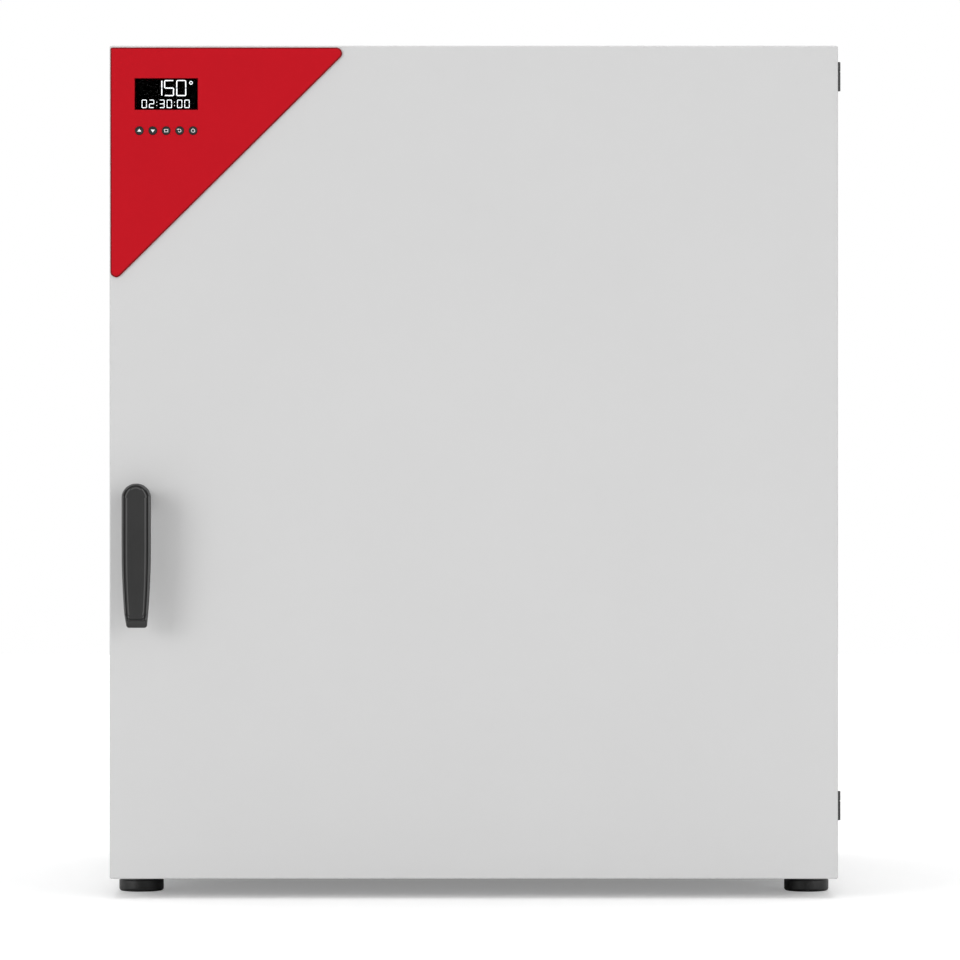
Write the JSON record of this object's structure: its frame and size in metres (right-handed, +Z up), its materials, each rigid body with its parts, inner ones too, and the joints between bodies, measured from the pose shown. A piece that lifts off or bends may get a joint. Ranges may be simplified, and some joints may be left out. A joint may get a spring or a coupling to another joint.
{
  "type": "drying oven",
  "caption": "Box-shaped bench oven with a full-size swing door, triangular control panel, turning lever handle, chamber with wire shelves, rear fan and exhaust spigot.",
  "frame": {"origin": "on the floor, under the middle of the whole oven's box", "axes": "+X to the right seen from the front, +Y to the back, +Z up"},
  "size_m": [0.8265, 0.856, 0.96],
  "materials": {
    "door_steel": "satin",
    "housing_steel": "satin",
    "zinc_sheet": "satin",
    "frame_steel": "satin",
    "chamber_steel": "satin",
    "shelf_wire": "polished",
    "mineral_wool": "matte",
    "seal_silicone": "matte",
    "heater_sheath": "matte",
    "motor_cast": "satin",
    "fan_steel": "satin",
    "duct_steel": "satin",
    "drive_plastic": "matte",
    "board_laminate": "satin",
    "latch_steel": "satin",
    "hinge_black": "satin",
    "screw_steel": "satin",
    "foot_rubber": "matte",
    "panel_red": "satin",
    "window_clear": "gloss",
    "display_black": "gloss",
    "key_black": "satin",
    "handle_dark": "matte"
  },
  "bodies": {
    "housing": {"air_panel_left": "chamber_steel", "air_panel_right": "chamber_steel", "base_plate": "zinc_sheet", "bracket_screws": "screw_steel", "door_gasket": "seal_silicone", "exhaust_duct": "duct_steel", "exhaust_spigot": "duct_steel", "fan_motor": "motor_cast", "feet": "foot_rubber", "flap_actuator": "drive_plastic", "front_frame": "frame_steel", "heater_coil": "heater_sheath", "hinge_brackets": "hinge_black", "hinge_pins": "latch_steel", "insulation_jacket": "mineral_wool", "insulation_rear": "mineral_wool", "intake_duct": "duct_steel", "latch_keeper": "latch_steel", "liner_floor": "chamber_steel", "liner_left": "chamber_steel", "liner_rear": "chamber_steel", "liner_right": "chamber_steel", "liner_roof": "chamber_steel", "motor_bracket": "zinc_sheet", "panel_screws": "screw_steel", "power_board": "board_laminate", "power_inlet": "drive_plastic", "rear_baffle": "chamber_steel", "rear_bulkhead": "zinc_sheet", "rear_panel": "zinc_sheet", "side_panel_left": "housing_steel", "side_panel_right": "housing_steel", "temperature_probe": "heater_sheath", "top_panel": "housing_steel"},
    "door": {"door_outer_panel": "door_steel", "door_inner_panel": "chamber_steel", "door_insulation": "mineral_wool", "control_cover": "panel_red", "display_window": "window_clear", "display_module": "display_black", "controller_board": "board_laminate", "controller_tray": "drive_plastic", "handle_bush": "handle_dark", "hinge_leaves": "hinge_black", "leaf_screws": "screw_steel"},
    "handle": {"handle_lever": "handle_dark", "handle_spindle": "latch_steel", "latch_cam": "latch_steel"},
    "up_key": {"key_up": "key_black"},
    "down_key": {"key_down": "key_black"},
    "enter_key": {"key_enter": "key_black"},
    "back_key": {"key_back": "key_black"},
    "standby_key": {"key_standby": "key_black"},
    "lower_shelf": {"shelf_lower": "shelf_wire"},
    "upper_shelf": {"shelf_upper": "shelf_wire"},
    "fan": {"fan_wheel": "fan_steel", "fan_shaft": "fan_steel"},
    "flap": {"exhaust_flap": "fan_steel"}
  },
  "joints": [
    {"name": "door_swing", "type": "hinge", "parent": "housing", "child": "door", "pos_m": [0.411, -0.324, 0.49], "axis": [0, 0, 1], "range_deg": [0, 120]},
    {"name": "handle_turn", "type": "hinge", "parent": "door", "child": "handle", "pos_m": [-0.3773, -0.38, 0.451], "axis": [0, -1, 0], "range_deg": [0, 90]},
    {"name": "up_press", "type": "slide", "parent": "door", "child": "up_key", "axis": [0, 1, 0], "range_m": [0, 0.0008], "stiffness_N_per_m": 600},
    {"name": "down_press", "type": "slide", "parent": "door", "child": "down_key", "axis": [0, 1, 0], "range_m": [0, 0.0008], "stiffness_N_per_m": 600},
    {"name": "enter_press", "type": "slide", "parent": "door", "child": "enter_key", "axis": [0, 1, 0], "range_m": [0, 0.0008], "stiffness_N_per_m": 600},
    {"name": "back_press", "type": "slide", "parent": "door", "child": "back_key", "axis": [0, 1, 0], "range_m": [0, 0.0008], "stiffness_N_per_m": 600},
    {"name": "standby_press", "type": "slide", "parent": "door", "child": "standby_key", "axis": [0, 1, 0], "range_m": [0, 0.0008], "stiffness_N_per_m": 600},
    {"name": "lower_shelf_slide", "type": "slide", "parent": "housing", "child": "lower_shelf", "axis": [0, -1, 0], "range_m": [0, 0.03]},
    {"name": "upper_shelf_slide", "type": "slide", "parent": "housing", "child": "upper_shelf", "axis": [0, -1, 0], "range_m": [0, 0.03]},
    {"name": "fan_spin", "type": "hinge", "parent": "housing", "child": "fan", "pos_m": [0, 0.218, 0.492], "axis": [0, -1, 0], "continuous": true},
    {"name": "flap_turn", "type": "hinge", "parent": "housing", "child": "flap", "pos_m": [0.25, 0.346, 0.812], "axis": [1, 0, 0], "range_deg": [0, 90]}
  ]
}
